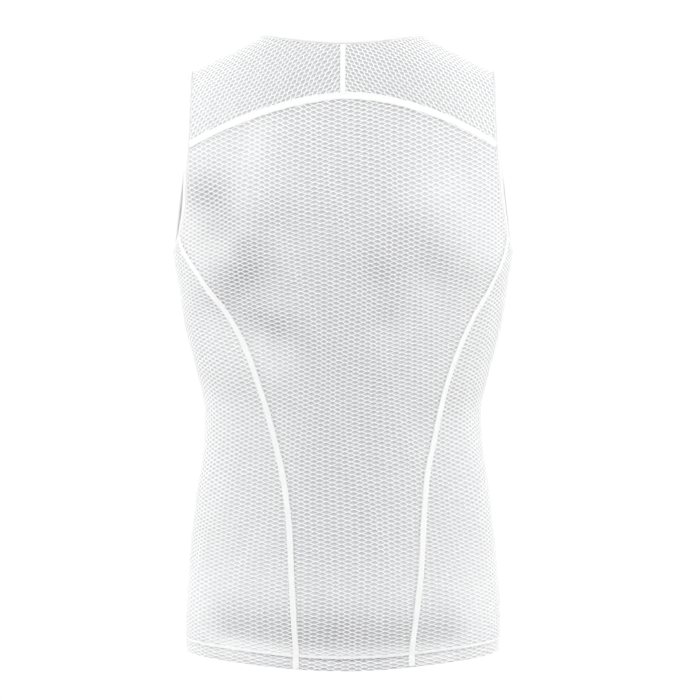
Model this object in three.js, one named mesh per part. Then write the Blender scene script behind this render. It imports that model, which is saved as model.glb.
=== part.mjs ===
// A sleeveless cycling base layer, filled out as if worn and empty inside.
// Millimetres, +Z up. The wearer's back faces -Y. The origin lies between the side neck points,
// where the shoulders carry the garment.

import * as THREE from 'three';

// Cloth
const NET = 1.2; // one layer of knitted net
const DOUBLED = 2.2; // folded binding and turned-up hem
const SEAM_THREAD = 0.7; // height of a flat seam
const GAP = 0.3; // between pieces that meet
const LIFT = 0.45; // clear of the cloth under a flat seam
const SEAM_END_GAP = 0.45; // between a flat seam's end and the binding

// Cut
const UNDERARM = -222; // height of the lowest point of the armholes
const HEM_SIDE = -635.5; // lower edge at the sides
const HEM_DROP = 12; // how much lower the back hem is
const HEM_BAND = 14;
const NECK_HALF = 82.5;
const NECK_BACK = 58;
const NECK_FRONT = 98;
const SCOOP_ROUND = 0.6; // below 1 the front neckline is a fuller scoop
const NECK_BAND = 6;
const ARM_BAND = 7;
const SHOULDER_SLOPE = 0.513; // fall of the shoulder line for each mm outwards
const SHOULDER_ROUND = 2.1; // exponent of the arch from chest to chest over the shoulder
const YOKE_MIDDLE = -69.8; // height of the yoke seam at the centre back
const YOKE_SIDE = -116.5; // its height at the armholes
const YOKE_BOW = 1.75; // exponent of its arch
const YOKE_LEAN = 0.02; // how far its middle sits to the right, as a share of its width
const FRONT_YOKE = 38; // how far in front of the shoulder line the front yoke seam lies
const BACK_SEAM_TOP = -211; // where the back seams meet the armholes
const FRONT_SEAM_TOP = -209;

// Horizontal sections from the underarm down: half width, depth behind and in front of
// the side line, and the exponent of the rounded-off oval.
const SECTIONS = [
  { z: UNDERARM, half: 175.2, back: 112, front: 118, square: 2.5 },
  { z: -258, half: 170.1, back: 110, front: 117, square: 2.5 },
  { z: -300, half: 163.9, back: 106, front: 114, square: 2.45 },
  { z: -345, half: 152.4, back: 101, front: 111, square: 2.4 },
  { z: -385, half: 143.8, back: 97, front: 109, square: 2.35 },
  { z: -425, half: 144.6, back: 95, front: 108, square: 2.35 },
  { z: -480, half: 152.3, back: 99, front: 108, square: 2.4 },
  { z: -540, half: 158.4, back: 107, front: 108, square: 2.4 },
  { z: -600, half: 162.6, back: 114, front: 107, square: 2.4 },
  { z: -650, half: 160.6, back: 117, front: 106, square: 2.4 },
];

// Back seams from the hem up: half the distance between them, and how far both sit to one side.
const BACK_SEAMS = [
  { z: -650, spread: 58, drift: 11 },
  { z: -600, spread: 61, drift: 12 },
  { z: -550, spread: 65, drift: 13.5 },
  { z: -497, spread: 68, drift: 13.5 },
  { z: -452, spread: 73, drift: 12.2 },
  { z: -412, spread: 82, drift: 11.8 },
  { z: -368, spread: 93, drift: 10.2 },
  { z: -331, spread: 106, drift: 9 },
  { z: -296, spread: 123.5, drift: 7 },
  { z: -258, spread: 146.5, drift: 4.5 },
];

const FRONT_SEAMS = [
  { z: -650, spread: 139, drift: 0 },
  { z: -600, spread: 140, drift: 0 },
  { z: -500, spread: 135, drift: 0 },
  { z: -420, spread: 129, drift: 0 },
  { z: -340, spread: 141, drift: 0 },
  { z: -258, spread: 160, drift: 0 },
];

// The armhole edge from the underarm up: how far out it lies behind and in front of the arm.
const ARMHOLE = [
  { z: -213, behind: 171, before: 174.8 },
  { z: -199, behind: 168.4, before: 173.8 },
  { z: -165, behind: 164, before: 171 },
  { z: -116, behind: 160.4, before: 165 },
  { z: -75, behind: 160, before: 161.5 },
];
const SHOULDER_TIP = 161;

// Soft drag folds of the filled-out cloth, from one end to the other: turn round the body from
// the centre back in degrees, height, width and depth.
const FOLDS = [
  { turn: -57, z: -276, toTurn: -38, toZ: -210, width: 26, depth: 4 },
  { turn: -42, z: -302, toTurn: -20, toZ: -332, width: 26, depth: 3 },
  { turn: 25, z: -200, toTurn: 36, toZ: -240, width: 26, depth: 3.4 },
  { turn: 38, z: -246, toTurn: 60, toZ: -268, width: 24, depth: 3.4 },
  { turn: 19, z: -252, toTurn: 24, toZ: -292, width: 22, depth: 2 },
  { turn: -57, z: -146, toTurn: -54, toZ: -184, width: 19, depth: 2.4 },
  { turn: 42, z: -160, toTurn: 52, toZ: -216, width: 28, depth: -2.6 },
  { turn: -34, z: -395, toTurn: -78, toZ: -372, width: 20, depth: 1.8 },
  { turn: 47, z: -406, toTurn: 84, toZ: -384, width: 22, depth: 2 },
  { turn: -126, z: -215, toTurn: -158, toZ: -290, width: 24, depth: 3 },
  { turn: 128, z: -210, toTurn: 152, toZ: -282, width: 22, depth: 3.2 },
  { turn: -108, z: -398, toTurn: -146, toZ: -420, width: 22, depth: 2 },
  { turn: 112, z: -388, toTurn: 150, toZ: -410, width: 20, depth: 1.8 },
];
const FOLD_SCALE = 130; // mm of girth for a radian of turn

// Widths of the flat seams
const YOKE_SEAM_WIDTH = 8.4;
const CENTRE_SEAM_WIDTH = 5.5;
const BACK_SEAM_WIDTH = 6.2;
const PLAIN_SEAM_WIDTH = 6;

// Faces along each stretch
const SEAM_ROWS = 22;
const BACK_ARM_ROWS = 7;
const OVER_ARM_ROWS = 13;
const FRONT_ARM_ROWS = 9;
const UNDERARM_COLUMNS = 8;
const YOKE_COLUMNS = 9;
const CENTRE_ROWS = 3;
const FRONT_YOKE_COLUMNS = 5;
const SCOOP_COLUMNS = 12;
const HEM_STATIONS = 64;

const BACK = -1;
const FRONT = 1;
const LEFT = -1;
const RIGHT = 1;

// ---- Small helpers ----

const lerp = THREE.MathUtils.lerp;

function steps(count, at) {
  return Array.from({ length: count + 1 }, (_, k) => at(k / count));
}

/** A table's row at any height, with every column eased smoothly between its rows. */
function rowAt(table, z) {
  const rows = [...table].sort((a, b) => a.z - b.z);
  const height = THREE.MathUtils.clamp(z, rows[0].z, rows.at(-1).z);
  const above = Math.max(1, rows.findIndex((row) => row.z >= height));
  const [low, high] = [rows[above - 1], rows[above]];
  const span = high.z - low.z;
  const share = (height - low.z) / span;
  const slope = (column, k) => {
    const [before, after] = [rows[k - 1], rows[k + 1]];
    return before && after ? (after[column] - before[column]) / (after.z - before.z) : 0;
  };
  const row = {};
  for (const column of Object.keys(low)) {
    const rise = high[column] - low[column];
    const start = slope(column, above - 1) * span;
    const end = slope(column, above) * span;
    const bend = share * (1 - share);
    const eased = share * share * (3 - 2 * share);
    row[column] = low[column] + eased * rise + bend * ((1 - share) * start - share * end);
  }
  return row;
}

// ---- The skin: the mid-surface of the cloth ----

/** Height of the shoulder line, or of its crown across the neck. */
function ridge(x) {
  const out = Math.abs(x);
  if (out > NECK_HALF) return SHOULDER_SLOPE * (NECK_HALF - out);
  return (SHOULDER_SLOPE * (NECK_HALF ** 2 - out ** 2)) / (2 * NECK_HALF);
}

/** How far up the arch over the shoulder a point is, from 0 at the underarm to 1 at the top. */
function climb(x, z) {
  return Math.max(0, z - UNDERARM) / (ridge(x) - UNDERARM);
}

function lean(x, z) {
  return (1 - Math.min(1, climb(x, z)) ** SHOULDER_ROUND) ** (1 / SHOULDER_ROUND);
}

/** Depth of a section at x, as a share of its greatest depth. */
function roundOff(x, { half, square }) {
  return (1 - Math.min(1, Math.abs(x) / half) ** square) ** (1 / square);
}

/** The skin at a turn round the body from the centre back, and a height. */
function skin(turn, z) {
  const section = rowAt(SECTIONS, z);
  const depth = Math.cos(turn) > 0 ? section.back : section.front;
  const across = Math.abs(Math.sin(turn)) / section.half;
  const along = Math.abs(Math.cos(turn)) / depth;
  const reach = (across ** section.square + along ** section.square) ** (-1 / section.square);
  const x = reach * Math.sin(turn);
  return new THREE.Vector3(x, -reach * Math.cos(turn) * lean(x, z), z);
}

/** The skin over the shoulders, from straight above. */
function shoulder(x, y) {
  const section = SECTIONS[0];
  const depth = (y < 0 ? section.back : section.front) * roundOff(x, section);
  const drop = (1 - Math.min(1, Math.abs(y) / depth) ** SHOULDER_ROUND) ** (1 / SHOULDER_ROUND);
  return new THREE.Vector3(x, y, UNDERARM + (ridge(x) - UNDERARM) * drop);
}

function turnAt(x, z, face) {
  const section = rowAt(SECTIONS, z);
  const depth = (face === BACK ? section.back : section.front) * roundOff(x, section);
  return Math.atan2(x, -face * depth);
}

function turnOf(p) {
  return Math.atan2(p.x, -p.y / lean(p.x, p.z));
}

const HIGH = 0.6; // above this climb the skin is read from above, below it from the side

function isHigh(p) {
  return climb(p.x, p.z) > HIGH;
}

function ontoSkin(p) {
  return isHigh(p) ? shoulder(p.x, p.y) : skin(turnOf(p), p.z);
}

/** Unit normal of the skin, out of the body. */
function normalAt(p) {
  const step = 0.05;
  if (isHigh(p)) {
    const across = shoulder(p.x + step, p.y).sub(shoulder(p.x - step, p.y));
    const along = shoulder(p.x, p.y + step).sub(shoulder(p.x, p.y - step));
    return across.cross(along).normalize();
  }
  const turn = turnOf(p);
  const twist = step / SECTIONS[0].back;
  const across = skin(turn + twist, p.z).sub(skin(turn - twist, p.z));
  const up = skin(turn, p.z + step).sub(skin(turn, p.z - step));
  return across.cross(up).normalize();
}

/** How far the soft folds sink the cloth at a point. */
function foldDepth(p) {
  const spot = new THREE.Vector2(turnOf(p) * FOLD_SCALE, p.z);
  let depth = 0;
  for (const fold of FOLDS) {
    const start = new THREE.Vector2(THREE.MathUtils.degToRad(fold.turn) * FOLD_SCALE, fold.z);
    const end = new THREE.Vector2(THREE.MathUtils.degToRad(fold.toTurn) * FOLD_SCALE, fold.toZ);
    const run = end.clone().sub(start);
    const share = THREE.MathUtils.clamp(spot.clone().sub(start).dot(run) / run.lengthSq(), 0, 1);
    const away = spot.distanceTo(start.addScaledVector(run, share));
    depth += fold.depth * Math.exp(-((away / fold.width) ** 2));
  }
  return isHigh(p) ? 0 : depth * Math.min(1, 4 * (HIGH - climb(p.x, p.z)));
}

/** Moves along the skin, square to a line through p, away from or towards a point. */
function alongSkin(p, tangent, distance, from) {
  const sideways = normalAt(p).cross(tangent).normalize();
  if (sideways.dot(p.clone().sub(from)) < 0) sideways.negate();
  return ontoSkin(p.clone().addScaledVector(sideways, distance));
}

// ---- Edges and seam lines ----

function hemEdge(turn) {
  return skin(turn, HEM_SIDE - HEM_DROP * Math.max(0, Math.cos(turn)) ** 2);
}

function hemLine(turn, rise = HEM_BAND) {
  return skin(turn, hemEdge(turn).z + rise);
}

/** A closed line on the skin through a few points, by shares of its length. */
function closedLine(points) {
  const curve = new THREE.CatmullRomCurve3(points, true, 'centripetal');
  return (share) => ontoSkin(curve.getPointAt(share - Math.floor(share)));
}

function tangentAt(line, share) {
  const step = 1e-3;
  return line(share + step).sub(line(share - step)).normalize();
}

/** The parallel of a line on the skin, a band's width further from a centre. */
function banded(edge, width, centre) {
  return (share) => alongSkin(edge(share), tangentAt(edge, share), width, centre);
}

function armholeCurve(side) {
  const behind = ARMHOLE.map(({ z, behind: x }) => skin(turnAt(side * x, z, BACK), z));
  const before = ARMHOLE.map(({ z, before: x }) => skin(turnAt(side * x, z, FRONT), z));
  const lowest = skin(side * Math.PI / 2, UNDERARM);
  const tip = shoulder(side * SHOULDER_TIP, 0);
  return closedLine([lowest, ...behind, tip, ...before.reverse()]);
}

/** Where a line crosses a limit between two shares of its length, by halving. */
function crossing(line, from, to, past) {
  const halvings = 40;
  let [low, high] = [from, to];
  for (let k = 0; k < halvings; k += 1) {
    const middle = (low + high) / 2;
    if (past(line(middle))) high = middle;
    else low = middle;
  }
  return high;
}

function armhole(side) {
  const edge = armholeCurve(side);
  const centre = new THREE.Vector3(side * SHOULDER_TIP, 0, lerp(UNDERARM, ridge(SHOULDER_TIP), 0.5));
  const line = banded(edge, ARM_BAND, centre);
  const marks = {
    backSeam: crossing(line, 0, 0.5, (p) => p.z > BACK_SEAM_TOP),
    yoke: crossing(line, 0, 0.5, (p) => p.z > YOKE_SIDE),
    frontYoke: crossing(line, 0.5, 0.75, (p) => p.y > FRONT_YOKE),
    frontSeam: crossing(line, 0.5, 1, (p) => p.z < FRONT_SEAM_TOP),
  };
  const stretch = (from, to, count) => steps(count, (share) => lerp(from, to, share));
  const shares = {
    behind: stretch(marks.backSeam, marks.yoke, BACK_ARM_ROWS),
    over: stretch(marks.yoke, marks.frontYoke, OVER_ARM_ROWS),
    before: stretch(marks.frontYoke, marks.frontSeam, FRONT_ARM_ROWS),
    under: stretch(marks.frontSeam, 1 + marks.backSeam, UNDERARM_COLUMNS),
  };
  const inner = banded(edge, ARM_BAND - GAP, centre);
  return { edge, line, inner, shares };
}

const ARMHOLES = { [LEFT]: armhole(LEFT), [RIGHT]: armhole(RIGHT) };

function armPoints(side, stretch) {
  return ARMHOLES[side].shares[stretch].map(ARMHOLES[side].line);
}

function neckPoint(turn) {
  const far = Math.cos(turn);
  const y = far > 0 ? -NECK_BACK * far : NECK_FRONT * Math.abs(far) ** SCOOP_ROUND;
  return shoulder(NECK_HALF * Math.sin(turn), y);
}

const NECK_CENTRE = new THREE.Vector3(0, 0, 0);
const NECK_KNOTS = 24;
const neckEdge = closedLine(steps(NECK_KNOTS, (share) => neckPoint(share * 2 * Math.PI)).slice(0, -1));
const neckLine = banded(neckEdge, NECK_BAND, NECK_CENTRE);
const FRONT_YOKE_SHARE = crossing(neckLine, 0, 0.5, (p) => p.y > FRONT_YOKE);

function neckPoints(from, to, count) {
  return steps(count, (share) => neckLine(lerp(from, to, share)));
}

/** A seam between panels, from its table, up to where it meets the armhole. */
function longSeam(side, face) {
  const [table, stretch] = face === BACK ? [BACK_SEAMS, 'behind'] : [FRONT_SEAMS, 'before'];
  const points = armPoints(side, stretch);
  const top = face === BACK ? points[0] : points.at(-1);
  const rows = [{ z: top.z, spread: Math.abs(top.x), drift: 0 }, ...table];
  const at = (z) => {
    const { spread, drift } = rowAt(rows, z);
    return skin(turnAt(side * spread + drift, z, face), z);
  };
  return { at, top };
}

const LONG_SEAMS = {};
for (const side of [LEFT, RIGHT]) {
  for (const face of [BACK, FRONT]) {
    LONG_SEAMS[`${side},${face}`] = longSeam(side, face);
  }
}

/** A long seam's points from the hem band to the armhole. */
function longSeamPoints(side, face) {
  const { at, top } = LONG_SEAMS[`${side},${face}`];
  const foot = hemLine(turnOf(at(HEM_SIDE))).z;
  return steps(SEAM_ROWS, (share) => (share === 1 ? top : at(lerp(foot, top.z, share))));
}

/** The same seam, carried down over the hem band to the lower edge. */
function longSeamOverHem(side, face) {
  const { at } = LONG_SEAMS[`${side},${face}`];
  const foot = hemLine(turnOf(at(HEM_SIDE)), GAP).z;
  return [at(foot), ...longSeamPoints(side, face)];
}

function yokeSeamPoints() {
  const [left, right] = [armPoints(LEFT, 'over')[0], armPoints(RIGHT, 'over')[0]];
  return steps(2 * YOKE_COLUMNS, (share) => {
    const x = lerp(left.x, right.x, share);
    const leant = share - 4 * YOKE_LEAN * share * (1 - share);
    const fall = Math.abs(2 * leant - 1) ** YOKE_BOW;
    const z = lerp(YOKE_MIDDLE, lerp(left.z, right.z, share), fall);
    return skin(turnAt(x, z, BACK), z);
  });
}

function centreSeamPoints() {
  const [low, high] = [yokeSeamPoints()[YOKE_COLUMNS], neckLine(0)];
  return steps(CENTRE_ROWS, (share) => skin(0, lerp(low.z, high.z, share)));
}

function frontYokePoints(side, count) {
  const neck = neckLine(side * FRONT_YOKE_SHARE);
  const arm = armPoints(side, 'over').at(-1);
  return steps(count, (share) => shoulder(lerp(neck.x, arm.x, share), lerp(neck.y, arm.y, share)));
}

function hemPoints(from, to, count) {
  return steps(count, (share) => hemLine(lerp(from, to, share)));
}

// ---- Grids and walls ----

const FROM_SIDE = {
  flat: (p) => [turnOf(p), p.z],
  round: ([turn, z]) => skin(turn, z),
};

const FROM_FRONT = {
  ...FROM_SIDE,
  flat: (p) => [(turnOf(p) + 2 * Math.PI) % (2 * Math.PI), p.z],
};

const FROM_ABOVE = {
  flat: (p) => [p.x, p.y],
  round: ([x, y]) => shoulder(x, y),
};

/** A panel's rows, blended between its four edges. Left and right run up, the others across. */
function panelRows({ left, right, bottom, top, view }) {
  const [l, r, b, t] = [left, right, bottom, top].map((edge) => edge.map(view.flat));
  const [rows, columns] = [left.length - 1, bottom.length - 1];
  const grid = steps(rows, (v) => steps(columns, (u) => {
    const [j, i] = [Math.round(v * rows), Math.round(u * columns)];
    const blend = (k) => {
      const sides = lerp(l[j][k], r[j][k], u);
      const ends = lerp(b[i][k], t[i][k], v);
      const corners = lerp(lerp(b[0][k], b[columns][k], u), lerp(t[0][k], t[columns][k], u), v);
      return sides + ends - corners;
    };
    return view.round([blend(0), blend(1)]);
  }));
  return drawIn(grid, GAP / 2);
}

/** Draws a panel's rim in along the skin, which leaves the gap at its seams. */
function drawIn(grid, distance) {
  const [rows, columns] = [grid.length - 1, grid[0].length - 1];
  const inward = (p, beside, after, before) => {
    const tangent = after.clone().sub(before).normalize();
    const towards = beside.clone().sub(p);
    return towards.addScaledVector(tangent, -towards.dot(tangent)).normalize();
  };
  return grid.map((row, j) => row.map((p, i) => {
    const pulls = [];
    if (i === 0 || i === columns) {
      const beside = row[i === 0 ? 1 : columns - 1];
      const [after, before] = [grid[Math.min(rows, j + 1)][i], grid[Math.max(0, j - 1)][i]];
      pulls.push(inward(p, beside, after, before));
    }
    if (j === 0 || j === rows) {
      const beside = grid[j === 0 ? 1 : rows - 1][i];
      const [after, before] = [row[Math.min(columns, i + 1)], row[Math.max(0, i - 1)]];
      pulls.push(inward(p, beside, after, before));
    }
    if (pulls.length === 0) return p;
    const [one, other] = pulls;
    const pull = other ? one.clone().add(other).divideScalar(1 + one.dot(other)) : one;
    return ontoSkin(p.clone().addScaledVector(pull, distance));
  }));
}

function signedVolume(positions, triangles) {
  const at = (k) => new THREE.Vector3().fromArray(positions, 3 * k);
  let volume = 0;
  for (let k = 0; k < triangles.length; k += 3) {
    const [a, b, c] = triangles.slice(k, k + 3).map(at);
    volume += a.dot(b.cross(c)) / 6;
  }
  return volume;
}

/** A closed wall of cloth over rows of skin points, from one distance off the skin to another. */
function wall(rows, inner, outer, isRing = false) {
  const [height, width] = [rows.length, rows[0].length];
  const positions = [];
  for (const offset of [outer, inner]) {
    for (const p of rows.flat()) {
      const q = p.clone().addScaledVector(normalAt(p), offset - foldDepth(p));
      positions.push(q.x, q.y, q.z);
    }
  }
  const layer = height * width;
  const triangles = [];
  const quad = (a, b, c, d) => triangles.push(a, b, c, a, c, d);
  const index = (j, i, depth) => depth * layer + j * width + (i % width);
  const lastColumn = isRing ? width : width - 1;
  for (let j = 0; j < height - 1; j += 1) {
    for (let i = 0; i < lastColumn; i += 1) {
      quad(index(j, i, 0), index(j, i + 1, 0), index(j + 1, i + 1, 0), index(j + 1, i, 0));
      quad(index(j, i, 1), index(j + 1, i, 1), index(j + 1, i + 1, 1), index(j, i + 1, 1));
    }
  }
  for (let i = 0; i < lastColumn; i += 1) {
    const top = height - 1;
    quad(index(0, i, 1), index(0, i + 1, 1), index(0, i + 1, 0), index(0, i, 0));
    quad(index(top, i, 0), index(top, i + 1, 0), index(top, i + 1, 1), index(top, i, 1));
  }
  if (!isRing) {
    for (let j = 0; j < height - 1; j += 1) {
      const end = width - 1;
      quad(index(j, 0, 0), index(j + 1, 0, 0), index(j + 1, 0, 1), index(j, 0, 1));
      quad(index(j, end, 1), index(j + 1, end, 1), index(j + 1, end, 0), index(j, end, 0));
    }
  }
  if (signedVolume(positions, triangles) < 0) triangles.reverse();
  const geometry = new THREE.BufferGeometry();
  geometry.setAttribute('position', new THREE.Float32BufferAttribute(positions, 3));
  geometry.setIndex(triangles);
  geometry.computeVertexNormals();
  return geometry;
}

function direction(points, k) {
  const [before, after] = [points[Math.max(0, k - 1)], points[Math.min(points.length - 1, k + 1)]];
  return after.clone().sub(before).normalize();
}

/** A flat seam along skin points. Its ends run square, or stop short of a line that they meet. */
function flatSeam(points, width, { start, end } = {}) {
  const rows = points.map((p, k) => {
    const tangent = direction(points, k);
    const across = normalAt(p).cross(tangent).normalize();
    const isStart = k === 0 && start;
    const isEnd = k === points.length - 1 && end;
    const along = (isStart && start) || (isEnd && end) || across;
    const inward = SEAM_END_GAP * (Boolean(isStart) - Boolean(isEnd));
    return [-width / 2, width / 2].map((w) => {
      const out = p.clone().addScaledVector(along, w / along.dot(across));
      return ontoSkin(out.addScaledVector(tangent, inward));
    });
  });
  const under = NET / 2 + LIFT;
  return wall(rows, under, under + SEAM_THREAD);
}

// ---- Materials ----

const netMaterial = new THREE.MeshStandardMaterial({ color: '#e6e8ec', roughness: 0.75, metalness: 0 });
const yokeMaterial = new THREE.MeshStandardMaterial({ color: '#e2e4e8', roughness: 0.75, metalness: 0 });
const bindingMaterial = new THREE.MeshStandardMaterial({ color: '#f6f6f6', roughness: 0.7, metalness: 0 });
const seamMaterial = new THREE.MeshStandardMaterial({ color: '#f8f8f8', roughness: 0.8, metalness: 0 });

// ---- The garment ----

const garment = new THREE.Group();

function add(name, geometry, material) {
  const mesh = new THREE.Mesh(geometry, material);
  mesh.name = name;
  garment.add(mesh);
}

function netWall(name, outline, material = netMaterial) {
  add(name, wall(panelRows(outline), -NET / 2, NET / 2), material);
}

function addBack() {
  const sideOf = (side) => [
    ...longSeamPoints(side, BACK),
    ...armPoints(side, 'behind').slice(1),
  ];
  const [left, right] = [sideOf(LEFT), sideOf(RIGHT)];
  const bottom = hemPoints(turnOf(left[0]), turnOf(right[0]), 2 * YOKE_COLUMNS);
  netWall('back_body', { left, right, bottom, top: yokeSeamPoints(), view: FROM_SIDE });
}

function addSide(side, name) {
  const behind = longSeamPoints(side, BACK);
  const before = longSeamPoints(side, FRONT);
  const bottom = hemPoints(turnOf(behind[0]), turnOf(before[0]), UNDERARM_COLUMNS);
  const top = armPoints(side, 'under').reverse();
  netWall(name, { left: behind, right: before, bottom, top, view: FROM_SIDE });
}

function addFront() {
  const sideOf = (side) => [
    ...longSeamPoints(side, FRONT),
    ...armPoints(side, 'before').reverse().slice(1),
  ];
  const [left, right] = [sideOf(RIGHT), sideOf(LEFT)];
  const ends = [left[0], right[0]].map((p) => FROM_FRONT.flat(p)[0]);
  const bottom = hemPoints(...ends, 2 * FRONT_YOKE_COLUMNS + SCOOP_COLUMNS);
  const top = [
    ...frontYokePoints(RIGHT, FRONT_YOKE_COLUMNS).reverse(),
    ...neckPoints(FRONT_YOKE_SHARE, 1 - FRONT_YOKE_SHARE, SCOOP_COLUMNS).slice(1, -1),
    ...frontYokePoints(LEFT, FRONT_YOKE_COLUMNS),
  ];
  netWall('front_body', { left, right, bottom, top, view: FROM_FRONT });
}

function addYoke(side, name) {
  const seam = yokeSeamPoints();
  const half = seam.slice(YOKE_COLUMNS);
  const bottom = side === RIGHT ? half : seam.slice(0, YOKE_COLUMNS + 1).reverse();
  const neck = neckPoints(0, side * FRONT_YOKE_SHARE, OVER_ARM_ROWS - CENTRE_ROWS);
  const left = [...centreSeamPoints(), ...neck.slice(1)];
  const right = armPoints(side, 'over');
  const top = frontYokePoints(side, YOKE_COLUMNS);
  netWall(name, { left, right, bottom, top, view: FROM_ABOVE }, yokeMaterial);
}

function addHem() {
  const around = steps(HEM_STATIONS, (share) => 2 * Math.PI * share).slice(0, -1);
  const rows = [0, HEM_BAND - GAP / 2].map((rise) => around.map((turn) => hemLine(turn, rise)));
  add('hem', wall(rows, NET / 2 - DOUBLED, NET / 2, true), netMaterial);
}

function addNeckBinding() {
  const count = OVER_ARM_ROWS - CENTRE_ROWS;
  const back = steps(count, (share) => share * FRONT_YOKE_SHARE);
  const scoop = steps(SCOOP_COLUMNS, (share) => lerp(FRONT_YOKE_SHARE, 1 - FRONT_YOKE_SHARE, share));
  const home = back.map((share) => 1 - share).reverse();
  const shares = [...back, ...scoop.slice(1, -1), ...home.slice(0, -1)];
  const inner = banded(neckEdge, NECK_BAND - GAP / 2, NECK_CENTRE);
  const rows = [shares.map(neckEdge), shares.map(inner)];
  add('neck_binding', wall(rows, -DOUBLED / 2, DOUBLED / 2, true), bindingMaterial);
}

function addArmholeBinding(side, name) {
  const { edge, inner, shares } = ARMHOLES[side];
  const loop = ['behind', 'over', 'before', 'under'].flatMap((key) => shares[key].slice(0, -1));
  const rows = [loop.map(edge), loop.map(inner)];
  add(name, wall(rows, -DOUBLED / 2, DOUBLED / 2, true), bindingMaterial);
}

function addLongSeam(side, face, name, width) {
  const points = longSeamOverHem(side, face);
  const stretch = armPoints(side, face === BACK ? 'behind' : 'before');
  const end = direction(stretch, face === BACK ? 0 : stretch.length - 1);
  add(name, flatSeam(points, width, { end }), seamMaterial);
}

function addYokeSeam() {
  const points = yokeSeamPoints();
  const start = direction(armPoints(LEFT, 'over'), 0);
  const end = direction(armPoints(RIGHT, 'over'), 0);
  add('yoke_seam', flatSeam(points, YOKE_SEAM_WIDTH, { start, end }), seamMaterial);
}

function addCentreSeam() {
  const low = YOKE_MIDDLE + YOKE_SEAM_WIDTH / 2 + SEAM_END_GAP;
  const high = neckLine(0).z - SEAM_END_GAP;
  const points = steps(CENTRE_ROWS, (share) => skin(0, lerp(low, high, share)));
  add('centre_back_seam', flatSeam(points, CENTRE_SEAM_WIDTH), seamMaterial);
}

function addFrontYokeSeam(side, name) {
  const points = frontYokePoints(side, YOKE_COLUMNS);
  const start = tangentAt(neckLine, side * FRONT_YOKE_SHARE);
  const over = armPoints(side, 'over');
  const end = direction(over, over.length - 1);
  add(name, flatSeam(points, PLAIN_SEAM_WIDTH, { start, end }), seamMaterial);
}

addBack();
addYoke(LEFT, 'yoke_left');
addYoke(RIGHT, 'yoke_right');
addSide(LEFT, 'side_left');
addSide(RIGHT, 'side_right');
addFront();
addNeckBinding();
addArmholeBinding(LEFT, 'armhole_binding_left');
addArmholeBinding(RIGHT, 'armhole_binding_right');
addHem();
addYokeSeam();
addCentreSeam();
addLongSeam(LEFT, BACK, 'back_seam_left', BACK_SEAM_WIDTH);
addLongSeam(RIGHT, BACK, 'back_seam_right', BACK_SEAM_WIDTH);
addLongSeam(LEFT, FRONT, 'front_seam_left', PLAIN_SEAM_WIDTH);
addLongSeam(RIGHT, FRONT, 'front_seam_right', PLAIN_SEAM_WIDTH);
addFrontYokeSeam(LEFT, 'front_yoke_seam_left');
addFrontYokeSeam(RIGHT, 'front_yoke_seam_right');

export default garment;
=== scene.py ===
"""Sleeveless cycling base layer: its net panels, seams, bindings and hem, and a plain studio.

The lengths of the cut are in millimetres and the finished meshes in metres. +Z is up, the
wearer's back faces -Y, and z = 0 is the top of the shoulders.
"""

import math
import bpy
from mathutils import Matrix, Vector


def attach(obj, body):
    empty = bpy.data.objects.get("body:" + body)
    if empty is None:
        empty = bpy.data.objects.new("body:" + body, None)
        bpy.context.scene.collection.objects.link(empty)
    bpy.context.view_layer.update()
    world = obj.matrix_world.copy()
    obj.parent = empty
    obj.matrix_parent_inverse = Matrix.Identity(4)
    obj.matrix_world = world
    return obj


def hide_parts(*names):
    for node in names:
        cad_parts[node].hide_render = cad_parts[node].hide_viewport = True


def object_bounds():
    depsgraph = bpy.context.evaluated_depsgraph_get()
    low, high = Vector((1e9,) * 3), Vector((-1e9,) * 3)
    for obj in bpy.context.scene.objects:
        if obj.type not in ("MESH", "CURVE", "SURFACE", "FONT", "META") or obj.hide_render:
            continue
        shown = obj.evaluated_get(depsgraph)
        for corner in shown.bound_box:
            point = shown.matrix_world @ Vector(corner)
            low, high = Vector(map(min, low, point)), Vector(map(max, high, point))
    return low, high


bl_info = {
    "name": "Cycling base layer",
    "version": (1, 0, 0),
    "blender": (4, 5, 0),
    "location": "3D View > Sidebar > Base layer",
    "description": "Knits, sews and binds a sleeveless cycling base layer",
    "category": "Mesh",
}

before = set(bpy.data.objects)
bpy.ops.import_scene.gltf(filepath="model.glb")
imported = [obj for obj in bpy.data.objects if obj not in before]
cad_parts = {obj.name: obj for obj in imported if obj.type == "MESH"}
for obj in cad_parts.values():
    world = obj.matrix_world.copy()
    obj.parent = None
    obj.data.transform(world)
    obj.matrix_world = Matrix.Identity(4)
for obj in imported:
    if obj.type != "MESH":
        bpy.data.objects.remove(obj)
CAD_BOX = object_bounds()

import bmesh
import bpy
import numpy as np
from mathutils import Matrix, Vector

MM = 0.001
BACK, FRONT = -1, 1
LEFT, RIGHT = -1, 1
SIDE_NAMES = {LEFT: "left", RIGHT: "right"}


# ---- The cut, in millimetres ----


def table(columns, *rows):
    """A table as one array for each named column. Its rows run upwards."""
    values = np.array(rows, float).T
    return dict(zip(columns.split(), values))


UNDERARM = -222.0
HEM_SIDE = -635.5
HEM_DROP = 12.0
HEM_BAND = 14.0
NECK_HALF = 82.5
NECK_BACK = 58.0
NECK_FRONT = 98.0
SCOOP_ROUND = 0.6
NECK_BAND = 6.0
ARM_BAND = 7.0
SHOULDER_SLOPE = 0.513
SHOULDER_ROUND = 2.1
SHOULDER_TIP = 161.0
YOKE_MIDDLE = -69.8
YOKE_SIDE = -116.5
YOKE_BOW = 1.75
YOKE_LEAN = 0.02
FRONT_YOKE = 38.0
BACK_SEAM_TOP = -211.0
FRONT_SEAM_TOP = -209.0

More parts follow.
